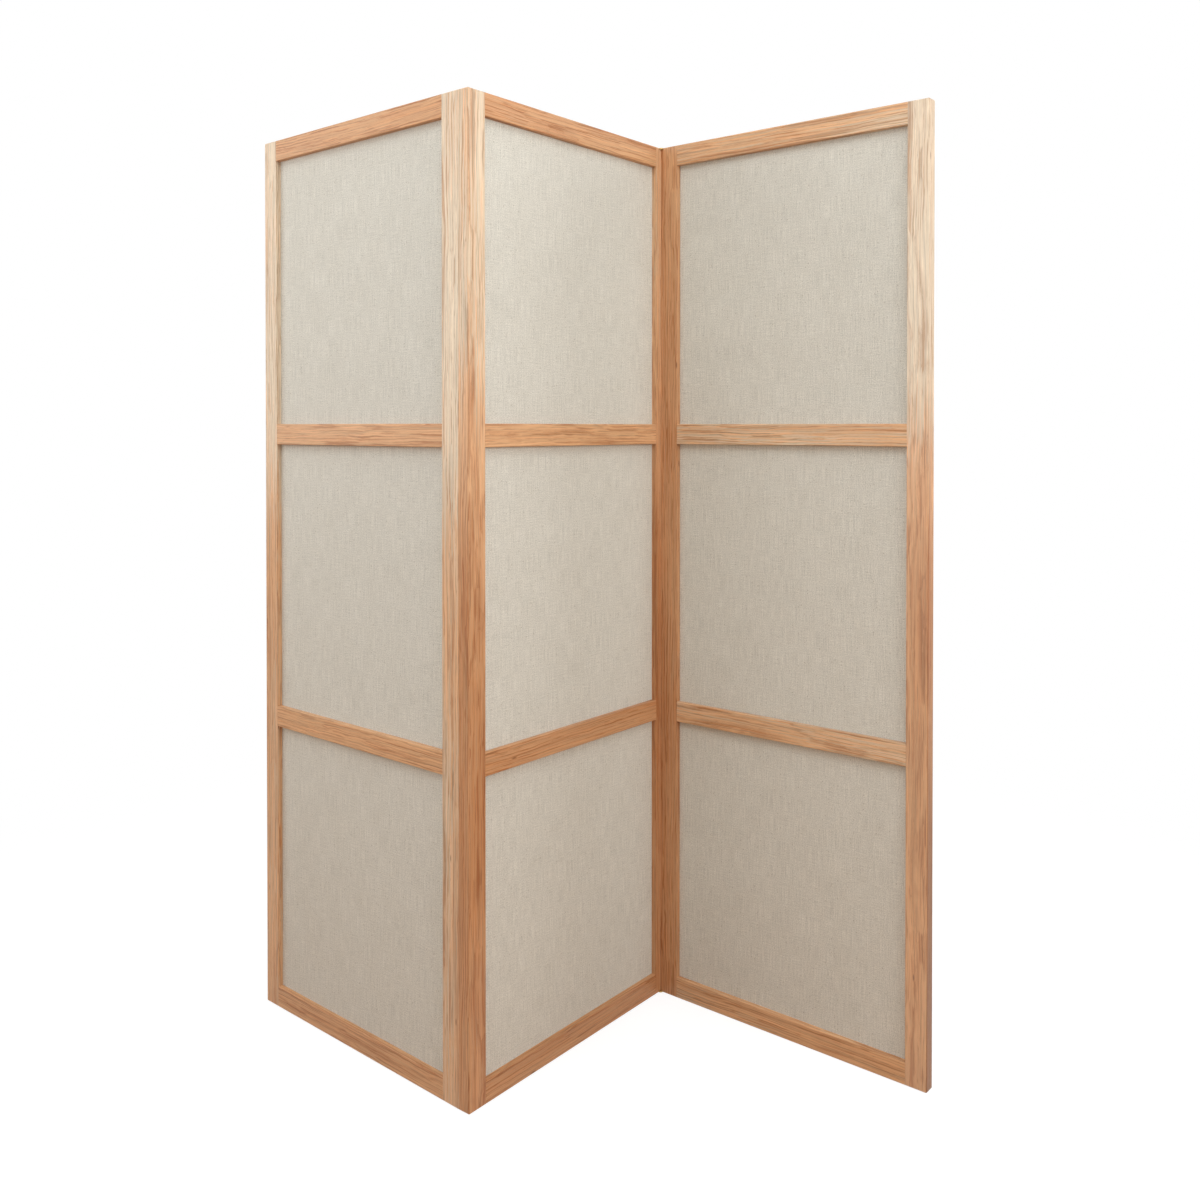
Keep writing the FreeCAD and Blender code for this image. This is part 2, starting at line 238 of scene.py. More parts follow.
def use_finish(tree, shader, finish, place, relief, depth, **constants):
    """Calls a finish at a place and joins it to a shader, with its height as a fine relief."""
    called = node(tree, "ShaderNodeGroup", node_tree=finish)
    tree.links.new(place, called.inputs["Place"])
    for label, value in constants.items():
        called.inputs[label.replace("_", " ")].default_value = value
    bump_inputs = {"Height": called.outputs["Height"], "Strength": relief, "Distance": depth}
    bump = node(tree, "ShaderNodeBump", bump_inputs)
    tree.links.new(called.outputs["Color"], shader.inputs["Base Color"])
    tree.links.new(called.outputs["Roughness"], shader.inputs["Roughness"])
    tree.links.new(bump.outputs["Normal"], shader.inputs["Normal"])
    return called

# %% [markdown]
# ## Oak
# Oak shows its year rings as soft stripes: each begins with a band of open pores, which reads darker, and
# ends in dense pale wood. The rings are cylinders round the heart of the tree, so a board is painted by
# how far each point is from that heart. A heart beside the board gives straight lines on its face, and
# one behind it gives arches. A node group holds the whole figure, and every stile and rail calls it with
# its own heart, tone and place in the log, as no two boards of a real frame are alike.

# %% Colours and pattern sizes of oak
PALE_OAK = srgb(213, 195, 171)
TAN_OAK = srgb(206, 161, 121)
BROWN_OAK = srgb(166, 107, 62)
PORE_TINT = (0.62, 0.46, 0.35, 1.0)
OPEN_PORE = srgb(122, 78, 46)
KNOT = srgb(112, 70, 44)

# Spots per metre: twice across the grain, then along it
SWAY_SPOTS = (9, 9, 2.6)
PATCH_SPOTS = (40, 40, 3.5)
FIBRE_SPOTS = (900, 900, 11)
STREAK_SPOTS = (340, 340, 3.6)
CLOUD_SPOTS = (11, 11, 1.3)
VEIN_SPOTS = (80, 80, 1.5)
LINE_SPOTS = (440, 440, 4.8)
PORE_SPOTS = (2300, 2300, 95)
KNOT_CELLS = (27, 27, 5.5)

# The noise at which a patch, vein, line or pore begins, and at which it is full
PATCH_RANGE = (0.3, 0.75)
VEIN_RANGE = (0.52, 0.74)
LINE_RANGE = (0.5, 0.68)
PORE_RANGE = (0.56, 0.68)

# How far from its middle, as a share of a cell, a knot is full and where it ends
KNOT_RANGE = (0.02, 0.055)

# A year runs from 0 to 1: its pores thin out until the first number, and its late edge begins at the second
PORES_UNTIL = 0.42
LATE_FROM = 0.72

# How dark the late edge gets, and how much of its strength the weakest year, patch or lone pore keeps
LATE_STRENGTH = 0.8
WEAKEST_YEAR = 0.25
WEAKEST_PATCH = 0.35
LONE_PORES = 0.3

# The tones between which pale wood turns tan, and tan wood brown
TAN_RANGE = (0.0, 0.5)
BROWN_RANGE = (0.5, 1.4)


# %% The oak figure
def make_oak_figure():
    """Colour, roughness and height of oak at a place whose z runs along the grain."""
    group, given = new_finish("oak_figure", {
        "Place": "Vector", "Heart": "Vector", "Ring width": "Float", "Flow": "Float", "Tone": "Float"})
    place = given["Place"]

    sway = noise(group, place, SWAY_SPOTS, 4.0, 0.62, "Color")
    centred = vector_sum(group, "SUBTRACT", sway, (0.5, 0.5, 0.5))
    shift = node(group, "ShaderNodeVectorMath", {0: centred, "Scale": given["Flow"]}, operation="SCALE")
    bent = vector_sum(group, "ADD", place, shift.outputs[0])
    from_heart = vector_sum(group, "SUBTRACT", bent, given["Heart"])
    radius = length_of(group, vector_sum(group, "MULTIPLY", from_heart, (1, 1, 0)))
    years = sum_of(group, "DIVIDE", radius, given["Ring width"])
    in_year = sum_of(group, "FRACT", years)
    year = sum_of(group, "FLOOR", years)
    luck = node(group, "ShaderNodeTexWhiteNoise", {"W": year}, noise_dimensions="1D").outputs["Value"]
    pore_band = mask(group, in_year, 0.0, PORES_UNTIL, 1.0, 0.0)
    late_edge = mask(group, in_year, LATE_FROM, 1.0, 0.0, LATE_STRENGTH)
    stripe = sum_of(group, "MAXIMUM", pore_band, late_edge)
    stripe = sum_of(group, "MULTIPLY", stripe, added(group, WEAKEST_YEAR, (luck, 1 - WEAKEST_YEAR)))
    patchy = mask(group, noise(group, place, PATCH_SPOTS), *PATCH_RANGE, WEAKEST_PATCH)
    stripe = sum_of(group, "MULTIPLY", stripe, patchy)

    fibre = ripple(group, place, FIBRE_SPOTS)
    streak = ripple(group, bent, STREAK_SPOTS, 2.0, 0.6)
    cloud = ripple(group, place, CLOUD_SPOTS, 1.0)
    vein = mask(group, noise(group, bent, VEIN_SPOTS), *VEIN_RANGE)
    line = mask(group, noise(group, bent, LINE_SPOTS), *LINE_RANGE)
    pores = mask(group, noise(group, place, PORE_SPOTS, 1.0), *PORE_RANGE)
    pores = sum_of(group, "MULTIPLY", pores, added(group, LONE_PORES, (pore_band, 1 - LONE_PORES)))
    knot = mask(group, cells(group, place, KNOT_CELLS, "3D")["Distance"], *KNOT_RANGE, 1.0, 0.0)

    tone = added(group, given["Tone"], (cloud, 0.8), (streak, 0.8))
    colour = blended(group, mask(group, tone, *TAN_RANGE), PALE_OAK, TAN_OAK)
    colour = blended(group, mask(group, tone, *BROWN_RANGE), colour, BROWN_OAK)
    dark = added(group, 0.0, (stripe, 0.75), (vein, 0.6), (line, 0.75))
    tint = blended(group, dark, WHITE, PORE_TINT)
    colour = blended(group, 1.0, colour, tint, "MULTIPLY")
    colour = shaded(group, colour, added(group, 1.08, (streak, 0.9), (fibre, 0.7)))
    colour = blended(group, sum_of(group, "MULTIPLY", pores, 0.45), colour, OPEN_PORE)
    colour = blended(group, sum_of(group, "MULTIPLY", knot, 0.8), colour, KNOT)
    roughness = added(group, 0.36, (fibre, 0.16), (pores, 0.2))
    height = added(group, 0.0, (streak, 0.4), (fibre, 0.5), (pores, -0.7))
    return close_finish(group, colour, roughness, height)


oak_figure = make_oak_figure()

# %% [markdown]
# ## One board for each stile and rail
# A joiner turns each board so that its grain runs along the member, and cuts it from another part of the
# log. Here a Mapping node does both: it turns the room's axes into the member's own, with z along the
# grain, and slides the member to a place in the log of its own. The heart of the tree lies beside, behind
# or diagonally from the board. A stile's tone is painted by height: paler at its head as a painted
# highlight, and browner at its foot as painted shade. The free end of the right panel is darkened with
# painted shade, most of all near the floor, and has less gloss.

# %% Oak boards
HEARTS = {"quarter": (0.115, 0.02, 0), "rift": (-0.075, 0.055, 0), "plain": (0.012, 0.062, 0)}
LOG_STEP = 3.7
# How far the rings sway, in metres
FLOW = 0.024
OAK_RELIEF = 0.35
OAK_RELIEF_DEPTH = 0.0006
SHADED_FOOT_BELOW = 0.85
LIT_HEAD_ABOVE = 1.4
ALONG_STILE = Matrix.Identity(4)
ALONG_RAIL = Matrix.Rotation(math.radians(-90), 4, "Y")

# The free end begins between these distances from the middle of its stile. Its painted shade is full below
# the first height and keeps a smaller share from the second height up; the tint is the colour of that
# painted shade.
FREE_END = (0.019, 0.0208)
END_SHADE_HEIGHTS = (0.3, 0.85)
END_SHADE_ABOVE = 0.3
END_SHADE_TINT = (0.5, 0.42, 0.37, 1.0)
FREE_END_GLOSS = 0.25


def oak_board(name, panel, centre, along, cut, tones, ring_width, gloss, place_in_log, painted_end_shade=False):
    """The oak of one member.

    centre is the middle of the member's section in the panel's own frame. tones are how brown the wood is
    at the foot and at the head of the screen; the change between them is painted light, paler at the head,
    and painted shade, browner at the foot. If the last argument is true, the free end is darkened with
    painted shade towards the floor.
    """
    material, tree, shader = new_material(name, IOR=1.5, Specular_IOR_Level=gloss)
    to_member = along @ Matrix.Translation(-Vector(centre)) @ panel_places[panel].inverted()
    room = node(tree, "ShaderNodeTexCoord").outputs["Object"]
    mapping = node(tree, "ShaderNodeMapping", {"Vector": room}, vector_type="POINT")
    mapping.inputs["Rotation"].default_value = to_member.to_euler("XYZ")
    in_log = to_member.translation + Vector((0, 0, LOG_STEP * place_in_log))
    mapping.inputs["Location"].default_value = in_log
    own_place = mapping.outputs["Vector"]
    figure = use_finish(tree, shader, oak_figure, own_place, OAK_RELIEF, OAK_RELIEF_DEPTH,
                        Heart=HEARTS[cut], Ring_width=ring_width, Flow=FLOW)
    height = axis_of(tree, room, "Z")
    # Painted light and shade: the tone runs from the foot tone, as painted shade, to the head tone, as
    # painted highlight
    tree.links.new(mask(tree, height, SHADED_FOOT_BELOW, LIT_HEAD_ABOVE, *tones), figure.inputs["Tone"])
    # Painted shade: the free end is darkened, most of all near the floor, and given less gloss
    if painted_end_shade:
        at_end = mask(tree, axis_of(tree, own_place, "X"), *FREE_END)
        end_shade_share = sum_of(tree, "MULTIPLY", at_end, mask(tree, height, *END_SHADE_HEIGHTS, 1.0, END_SHADE_ABOVE))
        colour = blended(tree, end_shade_share, figure.outputs["Color"], END_SHADE_TINT, "MULTIPLY")
        duller = mask(tree, at_end, 0.0, 1.0, gloss, FREE_END_GLOSS)
        tree.links.new(colour, shader.inputs["Base Color"])
        tree.links.new(duller, shader.inputs["Specular IOR Level"])
    return material


def dress(node_name, material):
    """Gives a CAD node its finish, in its object's own material slot."""
    piece = frame["nodes"][node_name]
    if not piece.material_slots:
        piece.data.materials.append(None)
    for slot in piece.material_slots:
        slot.material = material


# %% Every member of the three frames
RAIL_GLOSS = 0.2
RAIL_RING_WIDTH = 0.0045
# The stile whose free end carries painted shade
SHADED_END_STILE = ("right", "outer")

# Each stile: its cut, its tones at foot and head (their difference is painted light and shade), the width
# of a year, and its gloss
STILES = {
    "left": {
        "outer": ("quarter", (0.4, 0.15), 0.0042, 0.3),
        "inner": ("rift", (0.32, 0.05), 0.0056, 0.35),
    },
    "middle": {
        "left": ("plain", (1.0, 0.14), 0.0052, 0.3),
        "right": ("quarter", (0.9, 0.45), 0.0044, 0.3),
    },
    "right": {
        "inner": ("rift", (0.9, 0.7), 0.0050, 0.3),
        "outer": ("plain", (0.82, -0.1), 0.0048, 0.8),
    },
}

# The cut and the tone of each rail, in the order of RAIL_NAMES
RAILS = {
    "left": (("plain", 0.65), ("rift", 0.55), ("quarter", 0.6), ("rift", 0.7)),
    "middle": (("rift", 0.9), ("rift", 0.95), ("plain", 0.52), ("plain", 0.8)),
    "right": (("quarter", 0.45), ("plain", 0.35), ("rift", 0.25), ("rift", 0.3)),
}
stile_centres = (MEMBER_WIDTH / 2, PANEL_WIDTH - MEMBER_WIDTH / 2)
place_in_log = 0
for panel in panel_places:
    for (side, (cut, tones, ring_width, gloss)), centre_x in zip(STILES[panel].items(), stile_centres):
        place_in_log += 1
        board = oak_board(f"oak_{panel}_{side}_stile", panel, (centre_x, MID_DEPTH, 0), ALONG_STILE, cut,
                          tones, ring_width, gloss, place_in_log, (panel, side) == SHADED_END_STILE)
        dress(f"{panel}_{side}_stile", board)
    for index, (rail_name, (cut, tone)) in enumerate(zip(RAIL_NAMES, RAILS[panel])):
        place_in_log += 1
        centre = (0, MID_DEPTH, index * FIELD_PITCH + MEMBER_WIDTH / 2)
        board = oak_board(f"oak_{panel}_{rail_name}_rail", panel, centre, ALONG_RAIL, cut,
                          (tone, tone), RAIL_RING_WIDTH, RAIL_GLOSS, place_in_log)
        dress(f"{panel}_{rail_name}_rail", board)
print("oak boards:", place_in_log)

# %% [markdown]
# ## Linen
# Natural linen is spun unevenly: a thread swells into slubs and thins again, so the cloth shows short
# streaks along both threads, stronger up the warp, and a few flecks of flax straw. At arm's length single
# threads can't be counted, yet they take the shine off the cloth. The weave is a node group on the
# sheet's own UV map, in metres, so that it follows each piece of cloth.

# %% Threads and spots of the linen
WARP_PITCH = 0.0009
WEFT_PITCH = 0.0010
PALE_FLAX = srgb(215, 211, 202)
GREY_FLAX = srgb(186, 181, 170)
STRAW = srgb(134, 116, 92)

# Spots per metre: across the warp, then along it
DRIFT_SPOTS = (14, 9, 1)
WARP_SLUB_SPOTS = (640, 22, 1)
BROAD_WARP_SPOTS = (110, 2.2, 1)
WEFT_SLUB_SPOTS = (30, 600, 1)
NAP_SPOTS = (480, 480, 1)
MOTTLE_SPOTS = (17, 11, 1)
FLECK_CELLS = (150, 95, 1)

# A fleck's size as a share of its cell, the few cells that hold one, and how far threads drift in metres
FLECK_RANGE = (0.05, 0.16)
RARE_RANGE = (0.9, 0.93)
THREAD_DRIFT = 0.004


def thread(tree, across, drift, pitch):
    """The number of the thread at a place, and how high its round back stands there, from 0 to 1."""
    count = sum_of(tree, "DIVIDE", sum_of(tree, "ADD", across, drift), pitch)
    half_turn = sum_of(tree, "MULTIPLY", sum_of(tree, "FRACT", count), math.pi)
    return sum_of(tree, "FLOOR", count), sum_of(tree, "SINE", half_turn)


# %% The linen weave
def make_linen_weave():
    """Colour, roughness and height of plain linen at a place in metres, x across the warp, y along it."""
    group, given = new_finish("linen_weave", {"Place": "Vector"})
    place = given["Place"]
    drift = added(group, -THREAD_DRIFT / 2, (noise(group, place, DRIFT_SPOTS), THREAD_DRIFT))
    warp_number, warp_back = thread(group, axis_of(group, place, "X"), drift, WARP_PITCH)
    weft_number, weft_back = thread(group, axis_of(group, place, "Y"), drift, WEFT_PITCH)
    steps = sum_of(group, "ADD", warp_number, weft_number)
    warp_on_top = sum_of(group, "FLOORED_MODULO", steps, 2.0)
    weave_inputs = {0: warp_on_top, 2: weft_back, 3: warp_back}
    weave = node(group, "ShaderNodeMix", weave_inputs, data_type="FLOAT").outputs[0]

    warp_slub = ripple(group, place, WARP_SLUB_SPOTS)
    broad_warp = ripple(group, place, BROAD_WARP_SPOTS)
    weft_slub = ripple(group, place, WEFT_SLUB_SPOTS)
    nap = ripple(group, place, NAP_SPOTS, 1.0)
    mottle = ripple(group, place, MOTTLE_SPOTS, 3.0)
    light = added(group, 0.92, (warp_slub, 0.5), (broad_warp, 0.04), (weft_slub, 0.3), (nap, 0.75),
                  (mottle, 0.04), (weave, 0.12))
    tone = added(group, 0.28, (mottle, 0.4))
    colour = shaded(group, blended(group, tone, PALE_FLAX, GREY_FLAX), light)

    flecks = cells(group, place, FLECK_CELLS, "2D")
    fleck = mask(group, flecks["Distance"], *FLECK_RANGE, 1.0, 0.0)
    cell_colour = node(group, "ShaderNodeSeparateColor", {0: flecks["Color"]})
    rare = mask(group, cell_colour.outputs["Red"], *RARE_RANGE)
    share = sum_of(group, "MULTIPLY", sum_of(group, "MULTIPLY", fleck, rare), 0.6)
    colour = blended(group, share, colour, STRAW)
    roughness = added(group, 0.96, (weave, -0.08))
    height = added(group, 0.0, (weave, 0.6), (warp_slub, 0.8), (weft_slub, 0.5))
    return close_finish(group, colour, roughness, height)


LINEN_RELIEF = 0.5
LINEN_RELIEF_DEPTH = 0.0004
linen_weave = make_linen_weave()
linen, linen_tree, linen_shader = new_material(
    "natural_linen", IOR=1.45, Specular_IOR_Level=0.25, Sheen_Weight=0.12, Sheen_Roughness=0.5)
cloth_place = node(linen_tree, "ShaderNodeUVMap", uv_map="cloth").outputs["UV"]
use_finish(linen_tree, linen_shader, linen_weave, cloth_place, LINEN_RELIEF, LINEN_RELIEF_DEPTH)

# %% [markdown]
# ## A stretched sheet
# Each board is covered on both sides by a sheet glued and stretched over it, turned in at its four edges,
# which sit in the groove of the frame. The sheet is a grid whose edges are turned down round the board.
# One sheet is modelled, and each of the 18 that hang is a copy of it with its own mesh, cut from another
# place of the roll.

# %% One sheet over a board
GROOVE_BITE = 0.007
LINEN_THICKNESS = 0.0005
BOARD_THICKNESS = 0.002
SHEET_WIDTH = PANEL_WIDTH - 2 * MEMBER_WIDTH + 2 * GROOVE_BITE
SHEET_HEIGHT = FIELD_HEIGHT + 2 * GROOVE_BITE
TURN_IN = 0.0008
SHEET_CELLS = 36
SMOOTH_BELOW = math.radians(40)


def select_none():
    """Leaves edit mode and deselects everything, because an operator acts on all that is selected."""
    if bpy.context.object and bpy.context.object.mode != "OBJECT":
        bpy.ops.object.mode_set(mode="OBJECT")
    bpy.ops.object.select_all(action="DESELECT")


def model_sheet():
    """A stretched sheet, lying on z 0 with its face up and its edges turned down round the board."""
    select_none()
    bpy.ops.mesh.primitive_grid_add(x_subdivisions=SHEET_CELLS, y_subdivisions=SHEET_CELLS, size=1)
    sheet = bpy.context.object
    sheet.name = "linen_pattern"
    sheet.data.uv_layers[0].name = "cloth"
    bpy.ops.object.mode_set(mode="EDIT")
    bpy.ops.transform.resize(value=(SHEET_WIDTH - LINEN_THICKNESS, SHEET_HEIGHT - LINEN_THICKNESS, 1))
    bpy.ops.mesh.select_mode(type="EDGE")
    bpy.ops.mesh.select_all(action="DESELECT")
    bpy.ops.mesh.select_non_manifold()
    bpy.ops.mesh.extrude_region_move(TRANSFORM_OT_translate={"value": (0, 0, -TURN_IN)})
    bpy.ops.object.mode_set(mode="OBJECT")
    for corner in sheet.data.uv_layers["cloth"].data:
        corner.uv = (corner.uv[0] * SHEET_WIDTH, corner.uv[1] * SHEET_HEIGHT)
    thickness = sheet.modifiers.new("cloth", "SOLIDIFY")
    thickness.thickness = LINEN_THICKNESS / 2
    thickness.offset = -1
    bpy.ops.object.modifier_apply(modifier=thickness.name)
    bpy.ops.object.shade_smooth_by_angle(angle=SMOOTH_BELOW)
    return sheet


pattern = model_sheet()
print("sheet:", [round(v, 4) for v in pattern.dimensions], len(pattern.data.polygons), "faces")

# %% Hang a sheet on each side of every board
FACE_UP_TO_FRONT = Matrix.Rotation(math.radians(90), 4, "X")
FACE_UP_TO_BACK = Matrix.Rotation(math.radians(180), 4, "Z") @ FACE_UP_TO_FRONT
FACE_DEPTH = BOARD_THICKNESS / 2 + LINEN_THICKNESS
SIDES = {
    "front": (MID_DEPTH - FACE_DEPTH, FACE_UP_TO_FRONT),
    "back": (MID_DEPTH + FACE_DEPTH, FACE_UP_TO_BACK),
}
CUT_STEP = (0.71, 0.83)


def hang_sheet(panel, index, field_name, side, cut):
    """Copies the pattern on to one side of a board, and takes the place of the CAD solid there."""
    depth, turn = SIDES[side]
    centre_height = index * FIELD_PITCH + MEMBER_WIDTH + FIELD_HEIGHT / 2
    place = panel_places[panel] @ Matrix.Translation((PANEL_WIDTH / 2, depth, centre_height)) @ turn
    piece = pattern.copy()
    piece.data = pattern.data.copy()
    piece.name = piece.data.name = f"{panel}_{field_name}_{side}_cloth"
    piece.data.transform(place)
    for corner in piece.data.uv_layers["cloth"].data:
        corner.uv = (corner.uv[0] + cut * CUT_STEP[0], corner.uv[1] + cut * CUT_STEP[1])
    piece.data.materials.append(linen)
    bpy.context.scene.collection.objects.link(piece)
    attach(piece, f"{panel}_panel")
    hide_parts(f"{panel}_{field_name}_linen_{side}")


sheet_count = 0
for panel in panel_places:
    for index, field_name in enumerate(FIELD_NAMES):
        for side in SIDES:
            hang_sheet(panel, index, field_name, side, sheet_count)
            sheet_count += 1
bpy.data.objects.remove(pattern)
print("sheets hung:", sheet_count)

# %% [markdown]
# ## Boards and brass
# The boards only show where a sheet is cut away, so a plain plywood of three layers does. The brass
# leaves and screws of the hinges in the stile ends are seldom touched and never polished: they were
# brushed once, and spots of brown tarnish have dulled them since. Both brass finishes share one node
# group for that wear.

# %% Plywood boards
PLY_LAYERS = 3
VENEER = srgb(205, 170, 130)
GLUE_LINE = srgb(160, 122, 86)
GLUE_RANGE = (0.06, 0.16)
VENEER_SPOTS = (140, 140, 3)


def make_plywood(panel):
    """Thin plywood, with layers through its thickness and a soft grain up its face."""
    material, tree, shader = new_material(f"plywood_{panel}", Roughness=0.7)
    to_panel = panel_places[panel].inverted()
    room = node(tree, "ShaderNodeTexCoord").outputs["Object"]
    mapping = node(tree, "ShaderNodeMapping", {"Vector": room})
    mapping.inputs["Rotation"].default_value = to_panel.to_euler("XYZ")
    mapping.inputs["Location"].default_value = to_panel.translation
    place = mapping.outputs["Vector"]
    layers = sum_of(tree, "MULTIPLY", axis_of(tree, place, "Y"), PLY_LAYERS / BOARD_THICKNESS)
    glue = mask(tree, sum_of(tree, "FRACT", layers), *GLUE_RANGE, 1.0, 0.0)
    grain = noise(tree, place, VENEER_SPOTS, 3.0)
    colour = shaded(tree, VENEER, added(tree, 0.85, (grain, 0.3)))
    colour = blended(tree, sum_of(tree, "MULTIPLY", glue, 0.6), colour, GLUE_LINE)
    tree.links.new(colour, shader.inputs["Base Color"])
    return material


for panel in panel_places:
    plywood = make_plywood(panel)
    for field_name in FIELD_NAMES:
        dress(f"{panel}_{field_name}_board", plywood)

# %% Aged brass
BRASS = srgb(196, 164, 104)
TARNISH = srgb(122, 92, 54)
BRUSH_SPOTS = (300, 4200, 300)
TARNISH_SPOTS = (160, 160, 160)
TARNISH_RANGE = (0.75, 1.15)
LEAF_DULLED = 0.35
SCREW_DULLED = 0.5
BRASS_RELIEF = 0.2
BRASS_RELIEF_DEPTH = 0.0001


def make_brass_wear():
    """Colour, roughness and height of brushed brass that has dulled in spots."""
    group, given = new_finish("brass_wear", {"Place": "Vector", "Dulled": "Float"})
    brushed = noise(group, given["Place"], BRUSH_SPOTS)
    spots = noise(group, given["Place"], TARNISH_SPOTS, 4.0, 0.65)
    dulled = mask(group, sum_of(group, "ADD", spots, given["Dulled"]), *TARNISH_RANGE)
    colour = shaded(group, BRASS, added(group, 0.85, (brushed, 0.3)))
    colour = blended(group, dulled, colour, TARNISH)
    roughness = added(group, 0.26, (dulled, 0.25), (brushed, 0.12))
    return close_finish(group, colour, roughness, brushed)


brass_wear = make_brass_wear()


def make_brass(name, dulled):
    """Brass with a share of tarnish from 0 to 1."""
    material, tree, shader = new_material(name, Metallic=1.0)
    room = node(tree, "ShaderNodeTexCoord").outputs["Object"]
    use_finish(tree, shader, brass_wear, room, BRASS_RELIEF, BRASS_RELIEF_DEPTH, Dulled=dulled)
    return material


leaf_brass = make_brass("leaf_brass", LEAF_DULLED)
screw_brass = make_brass("screw_brass", SCREW_DULLED)
for name in frame["nodes"]:
    if name.endswith("_leaf"):
        dress(name, leaf_brass)
    if name.endswith("_screws"):
        dress(name, screw_brass)
print("plywood and brass dressed")

# %% [markdown]
# ## Studio
# The screen stands on a pale floor against white. To the camera, floor and backdrop glow white, and the
# floor still takes the screen's soft shadow. For the light that bounces about the room the floor is a
# warm wooden one, so the foot of the screen, which is far from the lamps, looks warmer and darker than
# its head.

# %% White backdrop
def seen_directly(tree):
    """1 for a ray that shows the backdrop itself: from the camera, or by way of gloss or glass."""
    rays = node(tree, "ShaderNodeLightPath").outputs
    either = sum_of(tree, "MAXIMUM", rays["Is Camera Ray"], rays["Is Glossy Ray"])
    return sum_of(tree, "MAXIMUM", either, rays["Is Transmission Ray"])


def joined(tree, kind, first, second, inputs=None):
    """A shader made of two others, mixed or added."""
    made = node(tree, kind, inputs)
    shader_sockets = [socket for socket in made.inputs if socket.type == "SHADER"]
    for part, socket in zip((first, second), shader_sockets):
        tree.links.new(part.outputs[0], socket)
    return made


WORLD_LIGHT = (1.0, 0.99, 0.97, 1.0)
WORLD_STRENGTH = 0.2
world = bpy.data.worlds.new("studio_world")
bpy.context.scene.world = world
world.use_nodes = True
sky = world.node_tree
sky.nodes.clear()
room_light = node(sky, "ShaderNodeBackground", {"Color": WORLD_LIGHT, "Strength": WORLD_STRENGTH})
white = node(sky, "ShaderNodeBackground", {"Color": WHITE, "Strength": 1.0})
both = joined(sky, "ShaderNodeMixShader", room_light, white, {0: seen_directly(sky)})
sky.links.new(both.outputs[0], node(sky, "ShaderNodeOutputWorld").inputs["Surface"])
print("world light strength:", WORLD_STRENGTH)

# %% Floor
FLOOR_SIZE = 14.0
FLOOR_GAP = 0.0004
FLOOR_GLOW = 0.78
FLOOR_TAKES_LIGHT = (0.3, 0.3, 0.3, 1.0)
FLOOR_BOUNCE = srgb(178, 138, 100)
SHADOW_FADES = (0.9, 2.2)
select_none()
bpy.ops.mesh.primitive_plane_add(size=FLOOR_SIZE, location=(0, 0, -FLOOR_GAP))
floor = bpy.context.object
floor.name = "studio_floor"
floor_material = bpy.data.materials.new("studio_floor")
floor_material.use_nodes = True
ground = floor_material.node_tree
ground.nodes.clear()
glow = node(ground, "ShaderNodeEmission", {"Color": WHITE, "Strength": FLOOR_GLOW})
catcher = node(ground, "ShaderNodeBsdfDiffuse", {"Color": FLOOR_TAKES_LIGHT})
near = joined(ground, "ShaderNodeAddShader", glow, catcher)
far = node(ground, "ShaderNodeEmission", {"Color": WHITE, "Strength": 1.0})
distance = length_of(ground, node(ground, "ShaderNodeTexCoord").outputs["Object"])
seen = joined(ground, "ShaderNodeMixShader", near, far, {0: mask(ground, distance, *SHADOW_FADES)})
bounce = node(ground, "ShaderNodeBsdfDiffuse", {"Color": FLOOR_BOUNCE})
whole = joined(ground, "ShaderNodeMixShader", bounce, seen, {0: seen_directly(ground)})
ground.links.new(whole.outputs[0], node(ground, "ShaderNodeOutputMaterial").inputs["Surface"])
floor.data.materials.append(floor_material)
floor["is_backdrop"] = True
print("floor:", FLOOR_SIZE, "m wide")

# %% [markdown]
# ## Lamps
# A panel that is turned away from the camera reflects what stands at the side of the room. So two tall
# windows of light stand there, above table height, and the oak shows their sheen down to the middle of
# the screen and no lower. A box at the front right lights the middle panel, a wide one under the ceiling
# evens the rest out, and a weak one behind the camera fills the valley between the panels. A last box
# lights the back of the screen.

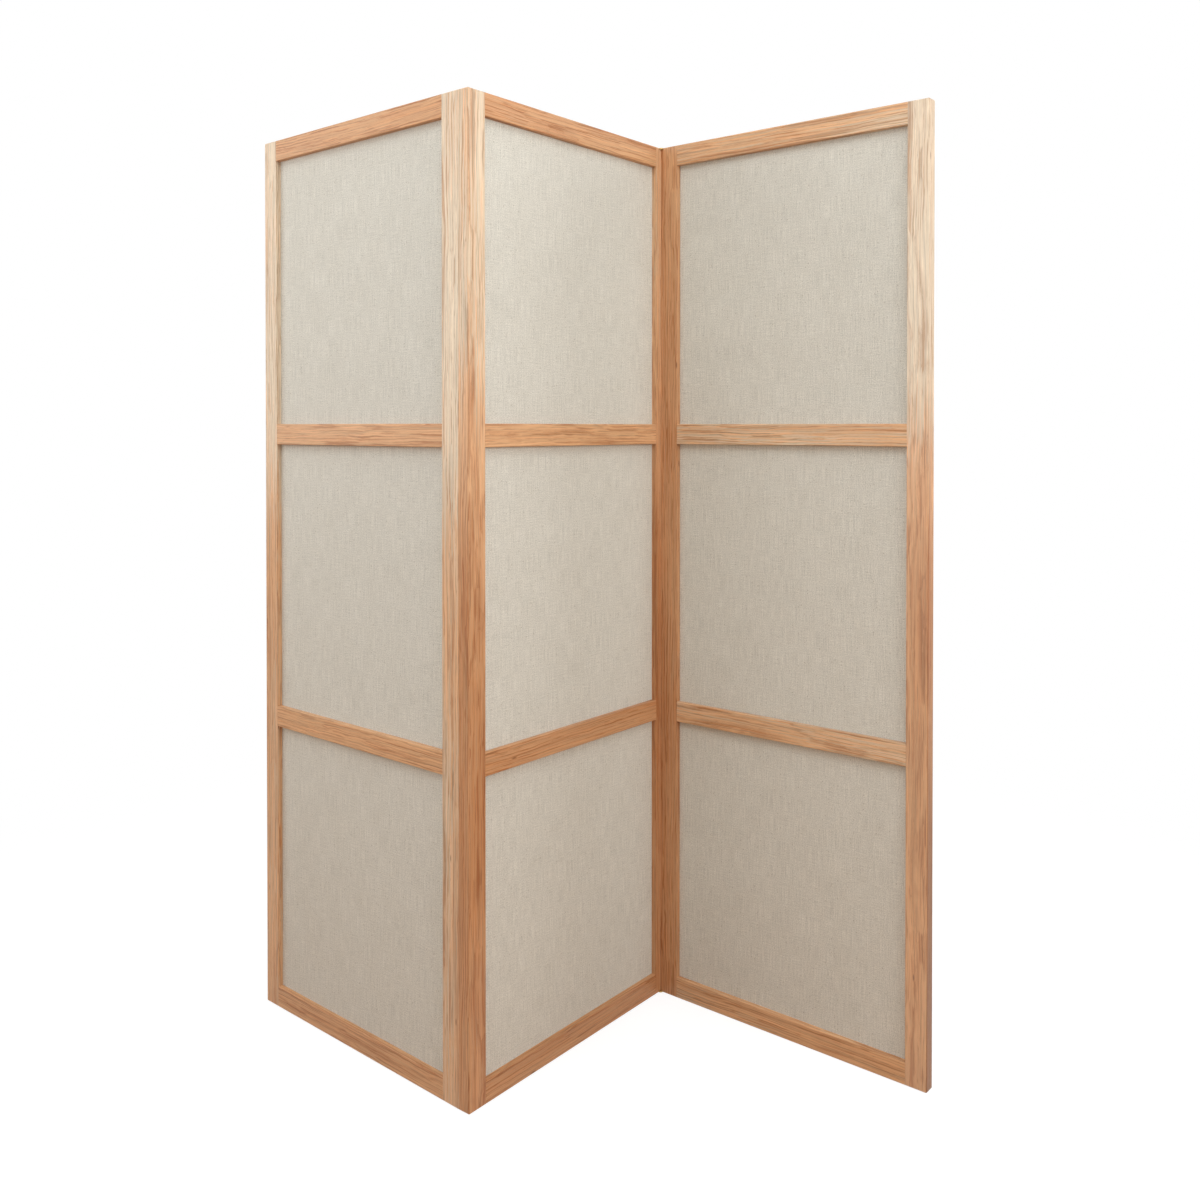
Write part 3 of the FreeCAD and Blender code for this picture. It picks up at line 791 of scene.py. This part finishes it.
# %% Soft boxes and windows
# Each lamp: where it stands, what it is aimed at, its width and height, its power, its colour
LAMPS = {
    "window_right": ((2.5, -0.15, 1.85), (0, -0.15, 1.85), (1.0, 1.7), 28.0, (0.98, 1.0, 0.99)),
    "front_right": ((2.4, -2.3, 1.9), (0.2, 0, 1.9), (1.8, 1.6), 44.0, (0.98, 1.0, 0.99)),
    "window_left": ((-2.5, -0.8, 1.85), (0, -0.8, 1.85), (3.0, 1.7), 40.0, (0.98, 1.0, 0.99)),
    "ceiling": ((0, -1.6, 3.1), (0, -1.6, 0), (3.0, 2.2), 61.0, (0.96, 1.0, 1.0)),
    "front_fill": ((0, -3.4, 1.6), (0, 0, 1.6), (4.4, 2.2), 17.0, (0.96, 1.0, 1.0)),
    "back_fill": ((0, 3.3, 1.8), (0, 0, 1.2), (4.0, 2.2), 62.0, (0.98, 1.0, 0.99)),
}
for name, (position, aim, size, power, colour) in LAMPS.items():
    data = bpy.data.lights.new(name, "AREA")
    data.shape = "RECTANGLE"
    data.size, data.size_y = size
    data.energy = power
    data.color = colour
    lamp = bpy.data.objects.new(name, data)
    lamp.location = position
    lamp.rotation_euler = (Vector(aim) - Vector(position)).to_track_quat("-Z", "Y").to_euler()
    bpy.context.scene.collection.objects.link(lamp)
print("lamps:", list(LAMPS))

# %% [markdown]
# ## Camera
# The camera stands at eye level, a little over two metres from the screen, and looks almost straight
# ahead. Its picture is shifted down rather than tilted, so that the upright edges stay upright, as an
# interior photographer would do it.

# %% Camera
CAMERA_PLACE = (0.0777, -2.2701, 1.2071)
CAMERA_PITCH = math.radians(0.6285)
CAMERA_YAW = math.radians(0.649)
CAMERA_LEVEL = math.radians(90)
SENSOR_WIDTH = 36.0
FOCAL_LENGTH = 34.9
PICTURE_SHIFT = -0.1331
camera_data = bpy.data.cameras.new("camera")
camera_data.sensor_width = SENSOR_WIDTH
camera_data.lens = FOCAL_LENGTH
camera_data.shift_y = PICTURE_SHIFT
camera = bpy.data.objects.new("camera", camera_data)
camera.location = CAMERA_PLACE
camera.rotation_euler = (CAMERA_LEVEL - CAMERA_PITCH, 0, CAMERA_YAW)
bpy.context.scene.collection.objects.link(camera)
bpy.context.scene.camera = camera
bpy.context.scene.view_settings.view_transform = "Standard"
print("camera at", CAMERA_PLACE)

# %% Print the sizes of the CAD model and of the scene
visual_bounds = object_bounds()
for label, corners in (("CAD", cad_bounds), ("visual", visual_bounds)):
    print(label, [[round(value, 4) for value in corner] for corner in corners])
